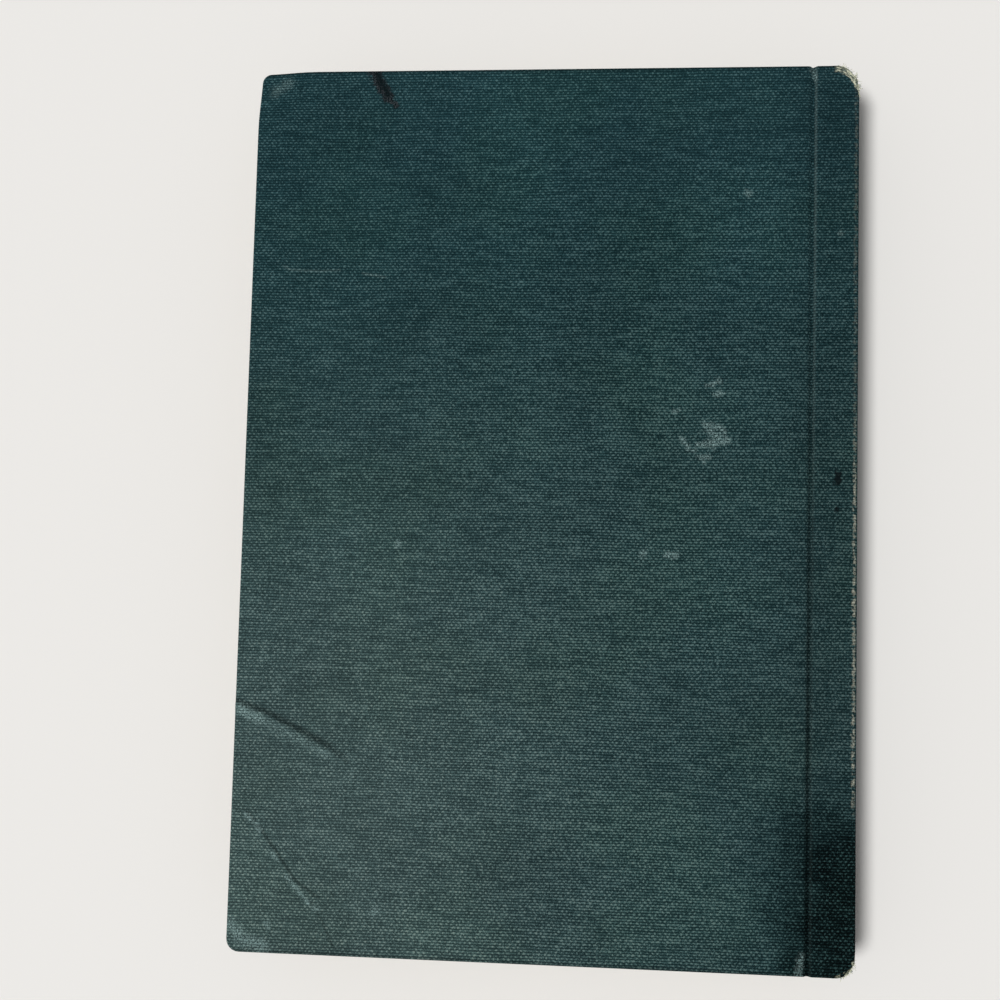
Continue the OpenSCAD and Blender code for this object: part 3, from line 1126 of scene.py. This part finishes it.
def paste_rise(x, y):
    """How far the paper stands off the bare board at this place."""
    inner_x = FORE + TURN_IN
    inner_y = HEAD - TURN_IN
    on_cloth = max(eased(x, inner_x + BRIDGED, inner_x), eased(abs(y), inner_y - BRIDGED, inner_y))
    on_mull = eased(x, flange_low.x - BRIDGED, flange_low.x)
    on_mull *= eased(abs(y), flange_high.y + BRIDGED, flange_high.y)
    return max(CLOTH_RISE * on_cloth, MULL_RISE * on_mull)


def pasted_paper(name, front):
    """The half of an end paper that is pasted inside a cover."""
    bm = flat_face(paste_low, paste_high)
    steps = [BRIDGED * i / STEP_PARTS for i in range(STEP_PARTS + 1)]
    cut_across(bm, 0, [FORE + TURN_IN + s for s in steps] + [flange_low.x - s for s in steps])
    bends = [HEAD - TURN_IN - s for s in steps] + [flange_high.y + s for s in steps]
    cut_across(bm, 1, sorted(y * end for y in bends for end in (1, -1)))
    for v in bm.verts:
        v.co.z -= paste_rise(v.co.x, v.co.y)
    bmesh.ops.solidify(bm, geom=bm.faces[:], thickness=PASTED_T)
    if front:
        to_front(bm)
    return make_piece(name, bm, end_paper)


for side in ("back", "front"):
    piece = pasted_paper(side + "_pasted_paper", side == "front")
    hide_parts(side + "_pastedown")
    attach(piece, side + "_cover")

# %% [markdown]
# ## The leaves
# The pages are one solid, with the grain of its leaves on three sides. The solid starts as a
# cube, cut into thin layers. Every layer is then drawn in by a little of its own, and the
# sections of the sewing slip against each other by a little more, as in an old book that no
# longer closes square. Towards the back the layers fan out to the shoulders.

# %% Leaf block
LEAF_SEED = 11
LAYERS = 72
SECTION_LAYERS = 9
SLIP = 0.22
WAVE = 0.08
PAGE_CUTS_X = (-40, -15, 10, 35)
PAGE_CUTS_Y = (-85, -60, -20, 20, 60, 85)
STATIONS = 5
block_low, block_high = box_mm("text_block")
mull_low = box_mm("mull")[0]
thread_low, thread_high = box_mm("sewing_thread")
THREAD_D = thread_high.x - thread_low.x
KERF_W = THREAD_D + 0.1
BESIDE_KERF = 0.36
LEAVES_LOW = box_mm("front_flyleaf")[1].z
LEAVES_HIGH = leaf_low.z


def leaf_block(name):
    """The pages between the free leaves, with uneven edges and the saw cuts of the sewing."""
    bm = bmesh.new()
    bmesh.ops.create_cube(bm, size=1)
    size = Vector((block_high.x - block_low.x, 2 * block_high.y, LEAVES_HIGH - LEAVES_LOW))
    bmesh.ops.scale(bm, vec=size, verts=bm.verts)
    bmesh.ops.translate(bm, vec=((block_low.x + block_high.x) / 2, 0, MIDDLE), verts=bm.verts)
    layer_t = size.z / LAYERS
    cut_across(bm, 2, [LEAVES_LOW + i * layer_t for i in range(1, LAYERS)])
    cut_across(bm, 0, [*PAGE_CUTS_X, FOLD_X, mull_low.x])
    reach = thread_high.y - THREAD_D / 2
    stations = [reach * (2 * i / (STATIONS - 1) - 1) for i in range(STATIONS)]
    kerf = (-BESIDE_KERF, -KERF_W / 2, KERF_W / 2, BESIDE_KERF)
    cut_across(bm, 1, sorted(y + d for y in stations for d in kerf))
    cut_across(bm, 1, PAGE_CUTS_Y)
    chance = random.Random(LEAF_SEED)
    sections = LAYERS // SECTION_LAYERS + 1
    slips = [[chance.uniform(0, SLIP) for _ in range(sections)] for _ in range(3)]
    nicks = [[chance.uniform(0, SLIP) ** 2 * 3 for _ in range(LAYERS + 1)] for _ in range(3)]
    flare = (block_high.z - block_low.z) / size.z
    for v in bm.verts:
        layer = round((v.co.z - LEAVES_LOW) / layer_t)
        wave = noise.noise(Vector((v.co.x * 0.03, v.co.y * 0.03, layer * 0.25))) * WAVE + WAVE
        sides = (
            (v.co.x < block_low.x + 0.01, Vector((1, 0, 0))),
            (v.co.y > block_high.y - 0.01, Vector((0, -1, 0))),
            (v.co.y < 0.01 - block_high.y, Vector((0, 1, 0))),
        )
        for k, (on_side, inward) in enumerate(sides):
            if on_side:
                v.co += inward * (slips[k][layer // SECTION_LAYERS] * 0.6 + nicks[k][layer] + wave)
        sawn = any(abs(v.co.y - y) < KERF_W / 2 + 0.01 for y in stations)
        share = min(max((v.co.x - FOLD_X) / (mull_low.x - FOLD_X), 0), 1)
        v.co.z = MIDDLE + (v.co.z - MIDDLE) * (1 + (flare - 1) * share)
        sawn = sawn and thread_low.z - 0.1 < v.co.z < thread_high.z + 0.1
        if sawn and v.co.x > block_high.x - 0.01:
            v.co.x -= KERF_W
    return make_piece(name, bm, leaf_paper)


piece = leaf_block("leaf_block")
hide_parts("text_block")
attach(piece, "book_block")

# %% [markdown]
# ## Frayed threads
# At the worn corners of the back, ends of thread stand out of the cloth. Each is a thin tube:
# a small ring that is extruded a few times, turning a little at each step.

# %% Frayed threads
FRAY_SEED = 4
FRAY_R = 0.045
FRAY_STEPS = 5
HEAD_THREADS = (80, (-18, 85))
TAIL_THREADS = (52, (5, 80))
fray, shader, wire = new_material("frayed_thread", 0.9, Specular_IOR_Level=0.1)
place = millimetres(wire)
tone = place.noises(1.6, 1.0, "3D")
colour = tone.x.ramp(0.36, 0.50).mix((0.10, 0.15, 0.12), (0.56, 0.57, 0.40))
dress(shader, colour, tone.y, 0.02)


def add_thread(bm, start, heading, length, chance):
    """One end of thread from start, curling as it goes."""
    turn = heading.to_track_quat("Z", "Y").to_matrix().to_4x4()
    made = bmesh.ops.create_circle(bm, segments=5, radius=FRAY_R, cap_ends=True,
                                   matrix=Matrix.Translation(start) @ turn)
    ring = list({e for v in made["verts"] for e in v.link_edges})
    for _ in range(FRAY_STEPS):
        points, ring = extruded(bm, ring)
        heading = (heading + Vector([chance.uniform(-0.35, 0.35) for _ in range(3)])).normalized()
        bmesh.ops.translate(bm, vec=heading * length / FRAY_STEPS, verts=points)
    bmesh.ops.contextual_create(bm, geom=ring)


def corner_threads(bm, end, count, angles, chance):
    """Threads along the worn arc at one end of the back."""
    radius = WORN_R[end]
    for _ in range(count):
        angle = math.radians(chance.uniform(*angles))
        out = Vector((math.cos(angle), end * math.sin(angle), 0))
        along = Vector((-out.y, out.x, 0))
        rim = Vector((BACK - radius, end * (HEAD - radius), TOP - chance.uniform(0.1, 0.9)))
        start = rim + out * (radius - chance.uniform(0.25, 0.7))
        heading = (out * chance.uniform(0.1, 1.0) + along * chance.uniform(-1.4, 1.4)
                   + Vector((0, 0, chance.uniform(-0.3, 0.5)))).normalized()
        add_thread(bm, start, heading, chance.uniform(0.5, 1.5), chance)


bm = bmesh.new()
chance = random.Random(FRAY_SEED)
corner_threads(bm, 1, *HEAD_THREADS, chance)
corner_threads(bm, -1, *TAIL_THREADS, chance)
piece = make_piece("frayed_threads", bm, fray)
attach(piece, "book_block")
